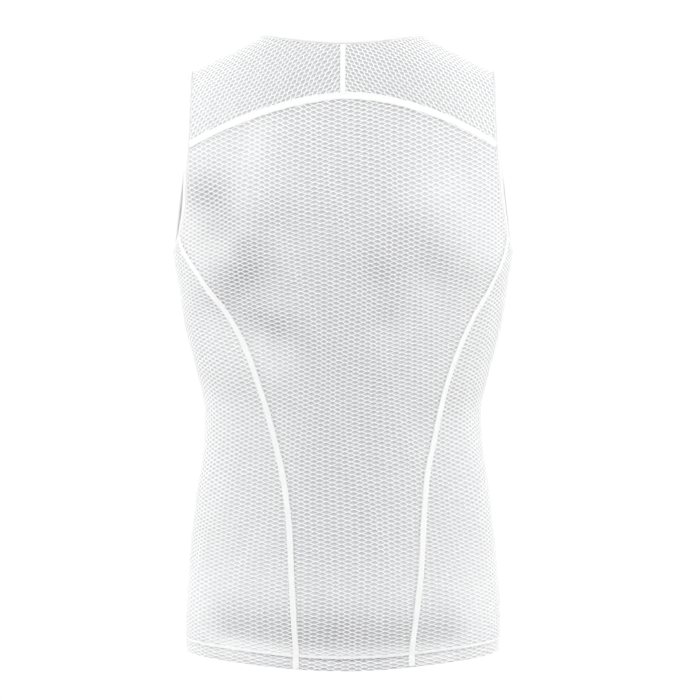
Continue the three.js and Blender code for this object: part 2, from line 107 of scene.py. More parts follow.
SECTIONS = table(
    "z half back front square",
    (-650, 160.6, 117, 106, 2.4),
    (-600, 162.6, 114, 107, 2.4),
    (-540, 158.4, 107, 108, 2.4),
    (-480, 152.3, 99, 108, 2.4),
    (-425, 144.6, 95, 108, 2.35),
    (-385, 143.8, 97, 109, 2.35),
    (-345, 152.4, 101, 111, 2.4),
    (-300, 163.9, 106, 114, 2.45),
    (-258, 170.1, 110, 117, 2.5),
    (UNDERARM, 175.2, 112, 118, 2.5),
)
CHEST = {name: column[-1] for name, column in SECTIONS.items()}

BACK_SEAMS = table(
    "z spread drift",
    (-650, 58, 11),
    (-600, 61, 12),
    (-550, 65, 13.5),
    (-497, 68, 13.5),
    (-452, 73, 12.2),
    (-412, 82, 11.8),
    (-368, 93, 10.2),
    (-331, 106, 9),
    (-296, 123.5, 7),
    (-258, 146.5, 4.5),
)
FRONT_SEAMS = table(
    "z spread drift",
    (-650, 139, 0),
    (-600, 140, 0),
    (-500, 135, 0),
    (-420, 129, 0),
    (-340, 141, 0),
    (-258, 160, 0),
)
ARMHOLE = table(
    "z behind before",
    (-213, 171, 174.8),
    (-199, 168.4, 173.8),
    (-165, 164, 171),
    (-116, 160.4, 165),
    (-75, 160, 161.5),
)
# Soft drag folds: turn round the body in degrees and height of both ends, how gently the
# cloth sinks into them from above and from below, and their depth. Ridges have a negative depth.
FOLDS = table(
    "turn z to_turn to_z above below depth",
    (-53, -290, -47, -270, 24, 34, 5.6),
    (-46, -276, -32, -212, 20, 30, 2.4),
    (-41, -314, -36, -320, 20, 28, 4.6),
    (-34, -322, -20, -340, 20, 30, 0.8),
    (31, -232, 39, -254, 22, 30, 1.7),
    (40, -256, 50, -264, 20, 30, 1.0),
    (21, -268, 24, -300, 20, 26, 3.0),
    (-60, -190, -55, -212, 24, 30, 6.4),
    (-40, -112, -46, -214, 14, 14, -3.0),
    (46, -190, 58, -240, 30, 30, -3.0),
    (-34, -395, -78, -372, 20, 24, 0.9),
    (47, -406, 84, -384, 22, 24, 1),
    (-52, -622, -9, -632, 28, 10, 4.6),
    (5, -632, 46, -627, 26, 10, 4.0),
    (-126, -215, -158, -290, 22, 30, 4),
    (128, -210, 152, -282, 20, 30, 4.2),
    (-108, -398, -146, -420, 22, 24, 2),
    (112, -388, 150, -410, 20, 24, 2.2),
    (138, -619, 180, -621, 18, 9, 3),
)
FOLD_SCALE = 130.0
# How far the net is stretched at each height: width and height of a cell.
STRETCH = table(
    "z wale course",
    (-650, 14.2, 3.7),
    (-580, 13.6, 4.0),
    (-500, 12.6, 4.3),
    (-400, 11.6, 4.45),
    (-306, 11.6, 4.2),
    (-225, 12.0, 4.3),
    (-150, 12.1, 4.7),
    (-40, 12.4, 4.3),
    (-4, 12.4, 2.4),
)


# ---- The skin: the middle of the cloth ----


def row_at(rows, z):
    """Every column of a table at the heights z, eased smoothly between its rows."""
    z = np.asarray(z, float)
    heights = rows["z"]
    height = np.clip(z, heights[0], heights[-1])
    above = np.clip(np.searchsorted(heights, height), 1, len(heights) - 1)
    below = above - 1
    span = heights[above] - heights[below]
    share = (height - heights[below]) / span
    bend = share * (1 - share)
    eased = share * share * (3 - 2 * share)
    found = {}
    for name, column in rows.items():
        slope = np.zeros(len(column))
        slope[1:-1] = (column[2:] - column[:-2]) / (heights[2:] - heights[:-2])
        start, end = slope[below] * span, slope[above] * span
        rise = column[above] - column[below]
        found[name] = column[below] + eased * rise + bend * ((1 - share) * start - share * end)
    return found


def ridge(x):
    """Height of the shoulder line, or of its crown across the neck."""
    out = np.abs(x)
    crown = SHOULDER_SLOPE * (NECK_HALF**2 - out**2) / (2 * NECK_HALF)
    return np.where(out > NECK_HALF, SHOULDER_SLOPE * (NECK_HALF - out), crown)


def climb(x, z):
    return np.maximum(0, z - UNDERARM) / (ridge(x) - UNDERARM)


def lean(x, z):
    return (1 - np.minimum(1, climb(x, z)) ** SHOULDER_ROUND) ** (1 / SHOULDER_ROUND)


def round_off(x, half, square):
    return (1 - np.minimum(1, np.abs(x) / half) ** square) ** (1 / square)


def skin(turn, z):
    """Points of the skin at turns round the body from the centre back, and heights."""
    section = row_at(SECTIONS, z)
    depth = np.where(np.cos(turn) > 0, section["back"], section["front"])
    across = np.abs(np.sin(turn)) / section["half"]
    along = np.abs(np.cos(turn)) / depth
    square = section["square"]
    reach = (across**square + along**square) ** (-1 / square)
    x = reach * np.sin(turn)
    z = np.broadcast_to(z, x.shape)
    return np.stack([x, -reach * np.cos(turn) * lean(x, z), z], axis=-1)


def shoulder(x, y):
    """The skin over the shoulders, from straight above."""
    depth = np.where(y < 0, CHEST["back"], CHEST["front"])
    depth = np.maximum(depth * round_off(x, CHEST["half"], CHEST["square"]), 1e-6)
    drop = (1 - np.minimum(1, np.abs(y) / depth) ** SHOULDER_ROUND) ** (1 / SHOULDER_ROUND)
    return np.stack([x, y, UNDERARM + (ridge(x) - UNDERARM) * drop], axis=-1)


def turn_at(x, z, face):
    section = row_at(SECTIONS, z)
    depth = section["back"] if face == BACK else section["front"]
    return np.arctan2(x, -face * depth * round_off(x, section["half"], section["square"]))


def turn_of(p):
    tilt = np.maximum(lean(p[..., 0], p[..., 2]), 1e-6)
    return np.arctan2(p[..., 0], -p[..., 1] / tilt)


HIGH = 0.6  # above this climb the skin is read from above, and below it from the side


def on_skin(p):
    high = climb(p[..., 0], p[..., 2]) > HIGH
    above, beside = shoulder(p[..., 0], p[..., 1]), skin(turn_of(p), p[..., 2])
    return np.where(high[..., None], above, beside)


def normals(p):
    """Unit normals of the skin at points on it, out of the body."""
    step = 0.05
    x, y, z, turn = p[..., 0], p[..., 1], p[..., 2], turn_of(p)
    twist = step / CHEST["back"]
    above = np.cross(
        shoulder(x + step, y) - shoulder(x - step, y), shoulder(x, y + step) - shoulder(x, y - step)
    )
    beside = np.cross(
        skin(turn + twist, z) - skin(turn - twist, z), skin(turn, z + step) - skin(turn, z - step)
    )
    normal = np.where((climb(x, z) > HIGH)[..., None], above, beside)
    return normal / np.maximum(np.linalg.norm(normal, axis=-1, keepdims=True), 1e-12)


def fold_depth(p):
    """How far the soft folds sink the cloth at points of the skin."""
    turn, z = turn_of(p), p[..., 2]
    depth = np.zeros(p.shape[:-1])
    for k in range(len(FOLDS["z"])):
        fold = {name: column[k] for name, column in FOLDS.items()}
        run = math.radians(fold["to_turn"] - fold["turn"]) * FOLD_SCALE, fold["to_z"] - fold["z"]
        run = np.array(run)
        round_from_start = (turn - math.radians(fold["turn"]) + math.pi) % (2 * math.pi) - math.pi
        spot = np.stack([round_from_start * FOLD_SCALE, z - fold["z"]], axis=-1)
        share = np.clip(spot @ run / (run @ run), 0, 1)
        away = spot - share[..., None] * run
        up = np.array([-run[1], run[0]]) * math.copysign(1, run[0]) / np.linalg.norm(run)
        distance = np.linalg.norm(away, axis=-1)
        rise = 0.5 + 0.5 * (away @ up) / np.maximum(distance, 1e-6)
        width = fold["below"] + (fold["above"] - fold["below"]) * rise
        depth += fold["depth"] * np.exp(-((distance / width) ** 2))
    return depth * np.clip(4 * (HIGH - climb(p[..., 0], p[..., 2])), 0, 1)


def step_between(low, high, value):
    share = np.clip((value - low) / (high - low), 0, 1)
    return share * share * (3 - 2 * share)


OVERHANG_RUN = 12.0  # height over which a fold's downward turn is measured


def painted_light_on_ground(p):
    """How light the sheer ground is painted, from 0, painted shade as of a dim hollow behind it, to 1,
    painted light.

    It is painted lighter round the sides, on the hem band's sides, in a band some way above the hem, towards
    the upper back, and on the yoke out towards the shoulders; painted shade darkens it where a fold turns
    downwards, and a little more the further a fold sinks.
    """
    height, out = p[..., 2], np.abs(turn_of(p))
    out = np.minimum(out, math.pi - out) / (math.pi / 2)
    sides = 0.1 * step_between(0.1, 0.5, out) + 0.17 * step_between(0.5, 1.0, out)
    shoulders = step_between(50, 160, np.abs(p[..., 0]))
    on_hem = height < hem_height(turn_of(p)) + HEM_BAND
    on_yoke = step_between(0.5, 0.62, climb(p[..., 0], p[..., 2]))
    lit = 0.42 + sides + 0.6 * sides * on_hem + 0.06 * step_between(-300, -160, height)
    lit += 0.14 * np.exp(-(((height + 578) / 42) ** 2))
    lit += (0.42 + 0.16 * shoulders - lit) * on_yoke
    # Painted shade: the ground is darkened where a fold turns downwards, and a little more the further a
    # fold sinks.
    sunk = fold_depth(p)
    overhang = (fold_depth(p - [0, 0, OVERHANG_RUN]) - sunk) / OVERHANG_RUN
    return np.clip(lit - 1.5 * overhang - 0.03 * sunk, 0, 1)


def raised(p, height):
    """Skin points moved out by heights, with the folds taken in, in metres."""
    return (p + normals(p) * (height - fold_depth(p))[..., None]) * MM


# ---- Lines on the skin ----


def closed_line(points, per_span=60):
    """A closed smooth line through a few points, laid on the skin."""
    p0, p1 = np.roll(points, 1, axis=0), points
    p2, p3 = np.roll(points, -1, axis=0), np.roll(points, -2, axis=0)
    d0, d1, d2 = (np.linalg.norm(b - a, axis=1)[:, None] ** 0.5 for a, b in ((p0, p1), (p1, p2), (p2, p3)))
    leave = ((p1 - p0) / d0 - (p2 - p0) / (d0 + d1) + (p2 - p1) / d1) * d1
    arrive = ((p2 - p1) / d1 - (p3 - p1) / (d1 + d2) + (p3 - p2) / d2) * d1
    t = (np.arange(per_span) / per_span)[None, :, None]
    p1, p2, leave, arrive = (a[:, None, :] for a in (p1, p2, leave, arrive))
    curve = (
        p1 * (2 * t**3 - 3 * t**2 + 1)
        + leave * (t**3 - 2 * t**2 + t)
        + p2 * (3 * t**2 - 2 * t**3)
        + arrive * (t**3 - t**2)
    )
    return on_skin(curve.reshape(-1, 3))


def directions(line, closed):
    if closed:
        run = np.roll(line, -1, axis=0) - np.roll(line, 1, axis=0)
    else:
        run = np.gradient(line, axis=0)
    return run / np.linalg.norm(run, axis=1, keepdims=True)


def beside(line, distance, centre, closed=True):
    """A line's parallel on the skin, further from a centre by a distance."""
    sideways = np.cross(normals(line), directions(line, closed))
    sideways /= np.linalg.norm(sideways, axis=1, keepdims=True)
    inward = np.sum(sideways * (line - centre), axis=1) < 0
    sideways[inward] *= -1
    return on_skin(line + sideways * np.reshape(distance, (-1, 1)))


def even(line, spacing, closed=False):
    """A line's points set out again at an even spacing."""
    if closed:
        line = np.concatenate([line, line[:1]])
    length = np.concatenate([[0], np.cumsum(np.linalg.norm(np.diff(line, axis=0), axis=1))])
    count = max(2, round(length[-1] / spacing))
    at = np.linspace(0, length[-1], count + 1)
    spread = np.stack([np.interp(at, length, line[:, k]) for k in range(3)], axis=1)
    return on_skin(spread[:-1] if closed else spread)


def armhole_edge(side):
    z = ARMHOLE["z"]
    behind = skin(turn_at(side * ARMHOLE["behind"], z, BACK), z)
    before = skin(turn_at(side * ARMHOLE["before"], z, FRONT), z)
    lowest = skin(np.array([side * math.pi / 2]), np.array([UNDERARM]))
    tip = shoulder(np.array([side * SHOULDER_TIP]), np.array([0.0]))
    return closed_line(np.concatenate([lowest, behind, tip, before[::-1]]))


def neck_edge():
    turn = np.arange(24) / 24 * 2 * math.pi
    far = np.cos(turn)
    y = np.where(far > 0, -NECK_BACK * far, NECK_FRONT * np.abs(far) ** SCOOP_ROUND)
    return closed_line(shoulder(NECK_HALF * np.sin(turn), y))


def arm_centre(side):
    return np.array([side * SHOULDER_TIP, 0, (UNDERARM + float(ridge(SHOULDER_TIP))) / 2])


NECK_EDGE = neck_edge()
NECK_CENTRE = np.zeros(3)
NECK_LINE = beside(NECK_EDGE, NECK_BAND, NECK_CENTRE)
ARM_EDGE = {side: armhole_edge(side) for side in (LEFT, RIGHT)}
ARM_LINE = {side: beside(ARM_EDGE[side], ARM_BAND, arm_centre(side)) for side in (LEFT, RIGHT)}


def arm_branch(side, face):
    """The armhole line behind or in front of the arm, running up."""
    line = ARM_LINE[side]
    branch = line[line[:, 1] * face > 0]
    return branch[np.argsort(branch[:, 2])]


def on_branch(side, face, height):
    branch = arm_branch(side, face)
    return np.array([np.interp(height, branch[:, 2], branch[:, k]) for k in range(3)])


def in_plan(line, y, side):
    """The point of a line in front of the shoulder at a distance y in plan."""
    part = line[(line[:, 1] > 0) & (line[:, 0] * side > 0) & (line[:, 2] > UNDERARM / 2)]
    part = part[np.argsort(part[:, 1])]
    return np.array([np.interp(y, part[:, 1], part[:, k]) for k in range(3)])


def seam_x(side, face, z):
    rows, height = (BACK_SEAMS, BACK_SEAM_TOP) if face == BACK else (FRONT_SEAMS, FRONT_SEAM_TOP)
    top = on_branch(side, face, height)
    ends = {"z": top[2], "spread": abs(top[0]), "drift": 0.0}
    found = row_at({name: np.append(column, ends[name]) for name, column in rows.items()}, z)
    return side * found["spread"] + found["drift"]


def hem_height(turn):
    return HEM_SIDE - HEM_DROP * np.maximum(0, np.cos(turn)) ** 2


def long_seam(side, face):
    z = np.linspace(HEM_SIDE - HEM_DROP, BACK_SEAM_TOP if face == BACK else FRONT_SEAM_TOP, 200)
    line = skin(turn_at(seam_x(side, face, z), z, face), z)
    return line[line[:, 2] > hem_height(turn_of(line)) + 0.4]


YOKE_ENDS = {side: on_branch(side, BACK, YOKE_SIDE) for side in (LEFT, RIGHT)}


def yoke_height(x):
    left, right = YOKE_ENDS[LEFT], YOKE_ENDS[RIGHT]
    share = (x - left[0]) / (right[0] - left[0])
    side = left[2] + (right[2] - left[2]) * share
    leant = share - 4 * YOKE_LEAN * share * (1 - share)
    return YOKE_MIDDLE + (side - YOKE_MIDDLE) * np.abs(2 * leant - 1) ** YOKE_BOW


def yoke_seam():
    x = np.linspace(YOKE_ENDS[LEFT][0], YOKE_ENDS[RIGHT][0], 200)
    z = yoke_height(x)
    return skin(turn_at(x, z, BACK), z)


def front_yoke_seam(side):
    neck, arm = in_plan(NECK_LINE, FRONT_YOKE, side), in_plan(ARM_LINE[side], FRONT_YOKE, side)
    share = np.linspace(0, 1, 80)
    x, y = (neck[k] + (arm[k] - neck[k]) * share for k in (0, 1))
    return shoulder(x, y)


# ---- Laying flat cloth on the skin ----


LOWEST, HIGHEST, LEVEL = HEM_SIDE - HEM_DROP - 12, -3.0, 6.0


class Girth:
    """Turns round the body by the distance round it from a grain line, at each height."""

    def __init__(self, grain):
        self.levels = np.arange(LOWEST, HIGHEST, LEVEL)
        self.turns = grain + np.linspace(-math.pi, math.pi, 721)
        rounds = skin(self.turns[None, :], self.levels[:, None])
        steps = np.linalg.norm(np.diff(rounds, axis=1), axis=2)
        length = np.concatenate([np.zeros((len(rounds), 1)), np.cumsum(steps, axis=1)], axis=1)
        self.lengths = length - length[:, 360:361]

    def turn(self, distance, z):
        place = np.clip((z - self.levels[0]) / LEVEL, 0, len(self.levels) - 1.001)
        low = place.astype(int)
        share = place - low
        found = np.zeros((2, len(distance)))
        for row in np.unique(np.concatenate([low, low + 1])):
            for k, at in enumerate((low, low + 1)):
                here = at == row
                found[k, here] = np.interp(distance[here], self.lengths[row], self.turns)
        return found[0] * (1 - share) + found[1] * share


NOMINAL_WALE, NOMINAL_COURSE = 12.0, 4.4


def course_heights():
    """Heights of the skin by the distance up the unstretched net from the hem."""
    z = np.linspace(LOWEST, HIGHEST, 400)
    course = row_at(STRETCH, z)["course"]
    steps = np.diff(z) * NOMINAL_COURSE / ((course[1:] + course[:-1]) / 2)
    return np.concatenate([[0], np.cumsum(steps)]), z


COURSE_UP, COURSE_Z = course_heights()


def body_place(grain):
    """Where a panel of the body puts its flat cloth: (across, up) to points of the skin."""
    girth = Girth(grain)

    def place(flat):
        z = np.interp(flat[:, 1], COURSE_UP, COURSE_Z)
        distance = flat[:, 0] * row_at(STRETCH, z)["wale"] / NOMINAL_WALE
        return skin(girth.turn(distance, z), z)

    return place


YOKE_LEVEL = -80.0  # the height at which the yoke's rows run level across the back
YOKE_COLUMN, YOKE_REACH = 2.5, 172.6  # spacing and extent of the arches the yoke is laid on
FAN = 1.04, 0.0008  # how the yoke's cells narrow from the centre out


def yoke_place(side):
    """The same for a yoke half, which bends over the shoulder."""
    columns = np.arange(0, YOKE_REACH, YOKE_COLUMN)
    swing = np.linspace(-0.5, 0.5, 181) * math.pi
    depth = np.where(swing < 0, CHEST["back"], CHEST["front"])[None, :]
    depth = depth * round_off(columns, CHEST["half"], CHEST["square"])[:, None]
    y = depth * np.sin(swing)[None, :]
    arches = shoulder(np.broadcast_to(columns[:, None], y.shape), y)
    steps = np.linalg.norm(np.diff(arches, axis=1), axis=2)
    length = np.concatenate([np.zeros((len(columns), 1)), np.cumsum(steps, axis=1)], axis=1)
    level = [np.interp(YOKE_LEVEL, z[:91], run[:91]) for z, run in zip(arches[..., 2], length)]
    length -= np.reshape(level, (-1, 1))

    def place(flat):
        out = np.abs(flat[:, 0])
        x = out * (FAN[0] - FAN[1] * out)
        at = np.clip(x / YOKE_COLUMN, 0, len(columns) - 1.001)
        low = at.astype(int)
        found = np.zeros((2, len(x)))
        for row in np.unique(np.concatenate([low, low + 1])):
            for k, which in enumerate((low, low + 1)):
                here = which == row
                found[k, here] = np.interp(flat[here, 1], length[row], y[row])
        share = at - low
        return shoulder(side * np.sign(flat[:, 0]) * x, found[0] * (1 - share) + found[1] * share)

    return place


# ---- Mesh helpers ----


def coordinates(verts):
    return np.array([v.co for v in verts])


def set_coordinates(verts, values):
    for v, value in zip(verts, values):
        v.co = value


def repeat(bm, step, count):
    """Repeats a whole flat mesh in a row of equal steps."""
    bmesh.ops.spin(
        bm,
        geom=bm.verts[:] + bm.edges[:] + bm.faces[:],
        cent=(0, 0, 0),
        axis=(0, 0, 1),
        dvec=step,
        angle=0,
        steps=count - 1,
        use_duplicate=True,
    )


JOINED = 2.3  # length over which two courses run together, above and below each cell


def lattice(width, height):
    """A flat sheet of staggered six-sided cells, centred on the origin."""
    bm = bmesh.new()
    bmesh.ops.create_circle(
        bm, cap_ends=True, radius=1, segments=6, matrix=Matrix.Rotation(math.pi / 2, 4, "Z")
    )
    for v in bm.verts:
        if abs(v.co.y) < 0.1:
            v.co = (math.copysign((NOMINAL_WALE - JOINED) / 2, v.co.x), 0, 0)
        else:
            v.co = (math.copysign(JOINED / 2, v.co.x), math.copysign(NOMINAL_COURSE / 2, v.co.y), 0)
    columns, rows = math.ceil(width / NOMINAL_WALE), math.ceil(height / NOMINAL_COURSE)
    offset = bmesh.ops.duplicate(bm, geom=bm.verts[:] + bm.edges[:] + bm.faces[:])["geom"]
    offset = [v for v in offset if isinstance(v, bmesh.types.BMVert)]
    bmesh.ops.translate(bm, vec=(NOMINAL_WALE / 2, NOMINAL_COURSE / 2, 0), verts=offset)
    repeat(bm, (NOMINAL_WALE, 0, 0), columns)
    repeat(bm, (0, NOMINAL_COURSE, 0), rows)
    bmesh.ops.remove_doubles(bm, verts=bm.verts, dist=0.05)
    middle = (-NOMINAL_WALE * (columns - 0.5) / 2, -NOMINAL_COURSE * (rows - 0.5) / 2, 0)
    bmesh.ops.translate(bm, vec=middle, verts=bm.verts)
    return bm


def trim(bm, place, limits):
    """Cuts flat cloth along each limit, a function of its points on the skin that is positive inside."""
    for limit in limits:
        verts = bm.verts[:]
        flat = coordinates(verts)
        inside = limit(place(flat))
        set_coordinates(verts, np.column_stack([flat[:, :2], inside]))
        bmesh.ops.bisect_plane(
            bm,
            geom=bm.verts[:] + bm.edges[:] + bm.faces[:],
            dist=1e-4,
            plane_co=(0, 0, 0),
            plane_no=(0, 0, 1),
            clear_inner=True,
        )
        for v in bm.verts:
            v.co.z = 0


def sink(bm, cells, width, depth):
    """Draws the corners of cells in by a width and sinks them, so the threads swell where they join."""
    outlines = [[v.co.copy() for v in cell.verts] for cell in cells]
    bmesh.ops.inset_individual(bm, faces=cells, thickness=1e-3)
    for cell, outline in zip(cells, outlines):
        middle = sum(outline, Vector()) / len(outline)
        for v, corner in zip(cell.verts, outline):
            spoke = middle - corner
            v.co = corner + spoke * min(0.4, width / spoke.length) - Vector((0, 0, depth))


SMALLEST_CELL = 1.5  # area under which a cut cell stays solid thread
CROWN, CROWN_DROP = 0.42, 0.16  # how wide a thread's round crown is and how far it drops


def knit(bm, settings, inner, rounded):
    """Turns flat cells into net: a wall with threads that stand over a sunk ground."""
    relief = settings.relief / MM
    half_thread = settings.thread_width / MM / 2
    bmesh.ops.remove_doubles(bm, verts=bm.verts, dist=0.2)
    bmesh.ops.dissolve_degenerate(bm, edges=bm.edges, dist=1e-3)
    bm.normal_update()
    bmesh.ops.solidify(bm, geom=bm.faces[:], thickness=1.0)
    bm.normal_update()
    cells = [face for face in bm.faces if face.normal.z > 0.9 and face.calc_area() > SMALLEST_CELL]
    thread = bm.verts.layers.float.new("thread")
    for v in bm.verts:
        v[thread] = 1.0
        v.co.z = relief if v.co.z > -0.5 else inner
    if rounded:
        sink(bm, cells, half_thread * CROWN, relief * CROWN_DROP)
        sink(bm, cells, half_thread * (1 - CROWN), relief * (1 - CROWN_DROP))
    else:
        sink(bm, cells, half_thread, relief)
    # Painted shade under each upper thread: near the upper thread the ground gets less of the thread's white
    # and near the lower one more, and it also tilts.
    for cell in cells:
        middle = cell.calc_center_median()
        for v in cell.verts:
            lower = (middle.y - v.co.y) / (NOMINAL_COURSE / 2 - half_thread)
            lower = max(-1, min(1, lower))
            v[thread] = 0.15 + 0.15 * lower
            v.co.z += 0.2 * lower


def lay(bm, place, groove_and_painted_shadow=None):
    """Lays a flat piece on the skin, each point at its own height over it, and paints light and shade into
    its ground.
    """
    through = bm.verts.layers.float.new("through")
    thread = bm.verts.layers.float["thread"]
    verts = bm.verts[:]
    flat = coordinates(verts)
    p = place(flat)
    dip = groove_and_painted_shadow(p) if groove_and_painted_shadow else np.zeros(len(p))
    # Painted light and shade go into "through"; under the covering stitch the crease also sinks the cloth
    # and darkens "through" and "thread" with painted shadow.
    for v, light, shade in zip(verts, painted_light_on_ground(p), dip):
        v[through] = max(0, light - shade)
        v[thread] *= 1 - 0.5 * shade
    set_coordinates(verts, raised(p, flat[:, 2] - 0.8 * dip * (flat[:, 2] > 0)))


def make_object(bm, name, material, smooth=True):
    closed = not any(edge.is_boundary for edge in bm.edges)
    if closed and bm.calc_volume(signed=True) < 0:
        bmesh.ops.reverse_faces(bm, faces=bm.faces)
    mesh = bpy.data.meshes.new(name)
    bm.to_mesh(mesh)
    bm.free()
    mesh.materials.append(material)
    if smooth:
        mesh.shade_smooth()
    else:
        mesh.shade_flat()
    piece = bpy.data.objects.new(name, mesh)
    bpy.context.scene.collection.objects.link(piece)
    return piece


def jitter(flat, seed, amount):
    """Small unevenness of a stretched net: slow waves and a little scatter."""
    random = np.random.RandomState(seed)
    moved = flat[:, :2].copy()
    for length, across, up in ((31.0, 0.5, 0.15), (55.0, 0.8, 0.4), (130.0, 1.4, 1.6), (190.0, 2.0, 2.6)):
        angle, phase, other = random.uniform(0, 2 * math.pi, 3)
        along = (flat[:, 0] * math.cos(angle) + flat[:, 1] * math.sin(angle)) * 2 * math.pi / length
        moved[:, 0] += amount * across * np.sin(along + phase)
        moved[:, 1] += amount * up * np.sin(along + other)
    moved += amount * random.normal(0, 1, moved.shape) * [0.3, 0.12]
    return np.column_stack([moved, flat[:, 2]])


# ---- Limits of the panels ----


def side_limit(side, face):
    """Turn of the edge of the back or front panel at each height: the long seam, then the armhole."""
    top = BACK_SEAM_TOP if face == BACK else FRONT_SEAM_TOP
    z = np.linspace(HEM_SIDE - HEM_DROP - 14, top, 120)
    branch = arm_branch(side, face)
    branch = branch[branch[:, 2] > top + 0.5]
    heights = np.concatenate([z, branch[:, 2]])
    turns = np.concatenate([turn_at(seam_x(side, face, z), z, face), turn_of(branch)])
    return heights, turns


def within_side(side, face, keep):
    """Inside the long seam and armhole line on a side; keep says which way from the line."""
    heights, turns = side_limit(side, face)
    if face == FRONT:
        turns = np.where(side * turns < 0, turns + side * 2 * math.pi, turns)

    def limit(p):
        turn = turn_of(p)
        if face == FRONT:
            turn = np.where(side * turn < -math.pi / 2, turn + side * 2 * math.pi, turn)
        return keep * side * (turn - np.interp(p[:, 2], heights, turns)) * FOLD_SCALE - SEAM_GAP / 2

    return limit


SEAM_GAP = 0.3


def above_hem(rise):
    return lambda p: p[:, 2] - hem_height(turn_of(p)) - rise


def below_yoke(p):
    return yoke_height(p[:, 0]) - p[:, 2] - SEAM_GAP / 2


def below_front_top():
    """Under the front yoke seams and the neckline."""
    scoop = NECK_LINE[(NECK_LINE[:, 1] > FRONT_YOKE)]
    top = np.concatenate([front_yoke_seam(LEFT), scoop, front_yoke_seam(RIGHT)])
    turn = turn_of(top) % (2 * math.pi)
    order = np.argsort(turn)
    turn, height = turn[order], top[order, 2]
    return lambda p: np.interp(turn_of(p) % (2 * math.pi), turn, height) - p[:, 2] - SEAM_GAP / 2


def under_arm(side):
    """Under the lowest stretch of an armhole line."""
    line = ARM_LINE[side]
    low = line[line[:, 2] < BACK_SEAM_TOP + 8]
    turn = turn_of(low) * side
    order = np.argsort(turn)
    turn, height = turn[order], low[order, 2]
    return lambda p: np.interp(turn_of(p) * side, turn, height) - p[:, 2] - SEAM_GAP / 2


def off_neck(p):
    angle = np.arctan2(NECK_LINE[:, 0], -NECK_LINE[:, 1])
    order = np.argsort(angle)
    radius = np.hypot(NECK_LINE[order, 0], NECK_LINE[order, 1])
    here = np.arctan2(p[:, 0], -p[:, 1])
    line = np.interp(here, angle[order], radius, period=2 * math.pi)
    return np.hypot(p[:, 0], p[:, 1]) - line - SEAM_GAP / 2


def within_arm(side):
    line = ARM_LINE[side][ARM_LINE[side][:, 2] > YOKE_SIDE - 15]
    line = line[np.argsort(line[:, 1])]
    y, out = line[:, 1], np.abs(line[:, 0])
    return lambda p: np.interp(p[:, 1], y, out) - np.abs(p[:, 0]) - SEAM_GAP / 2


# ---- Materials ----


def linear(code):
    """An sRGB hex colour as linear RGBA."""
    parts = [int(code[k : k + 2], 16) / 255 for k in (1, 3, 5)]
    return [c / 12.92 if c <= 0.04045 else ((c + 0.055) / 1.055) ** 2.4 for c in parts] + [1.0]


def node(tree, kind, settings=None, **links):
    """Adds a node, sets its properties and sockets, and links other nodes' outputs to it."""
    made = tree.nodes.new(kind)
    for name, value in (settings or {}).items():
        if isinstance(name, str) and hasattr(made, name):
            setattr(made, name, value)
        else:
            made.inputs[name].default_value = value
    for socket, source in links.items():
        key = int(socket[1:]) if socket[0] == "i" and socket[1:].isdigit() else socket.replace("_", " ")
        tree.links.new(source, made.inputs[key])
    return made


PATCH_MM = 90.0  # how wide the faint patches of uneven white are
CLOTH_WALL_MM = 1.2  # how far light spreads inside the cloth


def cloth_material(name, white, shaded_ground, lit_ground, roughness, sheen, grain_mm, relief_mm):
    """White knitted polyester: matt, with a soft sheen at the edges and a fine yarn grain.

    The piece's "thread" attribute goes from 0 in the sheer sunk ground to 1 on the raised
    threads; in the ground it also carries painted shade under each upper thread and under the
    covering stitch. "through" mixes the ground from its shaded colour, painted shade, at 0 to
    its lit colour, painted light, at 1.
    """
    material = bpy.data.materials.new(name)
    material.use_nodes = True
    tree = material.node_tree
    tree.nodes.clear()
    where = node(tree, "ShaderNodeTexCoord").outputs["Object"]
    thread = node(tree, "ShaderNodeAttribute", {"attribute_name": "thread"}).outputs["Fac"]
    patches = node(
        tree, "ShaderNodeTexNoise", {"Scale": 1 / (PATCH_MM * MM), "Detail": 2.0}, Vector=where
    )
    grain = node(
        tree,
        "ShaderNodeTexNoise",
        {"Scale": 1 / (grain_mm * MM), "Detail": 3.0, "Roughness": 0.6},
        Vector=where,
    )
    through = node(tree, "ShaderNodeAttribute", {"attribute_name": "through"}).outputs["Fac"]
    # The ground's colour: its shaded colour, painted shade, mixed towards its lit colour, painted light, by
    # "through".
    ground = node(tree, "ShaderNodeMix", {"data_type": "RGBA", 6: shaded_ground, 7: lit_ground}, i0=through)
    base = node(
        tree, "ShaderNodeMix", {"data_type": "RGBA", 7: white}, i0=thread, i6=ground.outputs[2]
    )
    tint = node(
        tree,
        "ShaderNodeMapRange",
        {"From Min": 0.3, "From Max": 0.7, "To Min": 0.985, "To Max": 1.0},
        Value=patches.outputs["Fac"],
    )
    final = node(
        tree,
        "ShaderNodeMix",
        {"data_type": "RGBA", "blend_type": "MULTIPLY", 0: 1.0},
        i6=base.outputs[2],
        i7=tint.outputs["Result"],
    )
    bump = node(
        tree,
        "ShaderNodeBump",
        {"Strength": 0.5, "Distance": relief_mm * MM},
        Height=grain.outputs["Fac"],
    )
    shader = node(
        tree,
        "ShaderNodeBsdfPrincipled",
        {
            "Roughness": roughness,
            "IOR": 1.5,
            "Sheen Weight": sheen,
            "Sheen Roughness": 0.4,
            "Subsurface Weight": 0.6,
            "Subsurface Radius": (1.0, 1.0, 1.0),
            "Subsurface Scale": CLOTH_WALL_MM * MM,
        },
        Base_Color=final.outputs[2],
        Normal=bump.outputs["Normal"],
    )
    out = node(tree, "ShaderNodeOutputMaterial", None, Surface=shader.outputs["BSDF"])
    out.location = (400, 0)
    return material


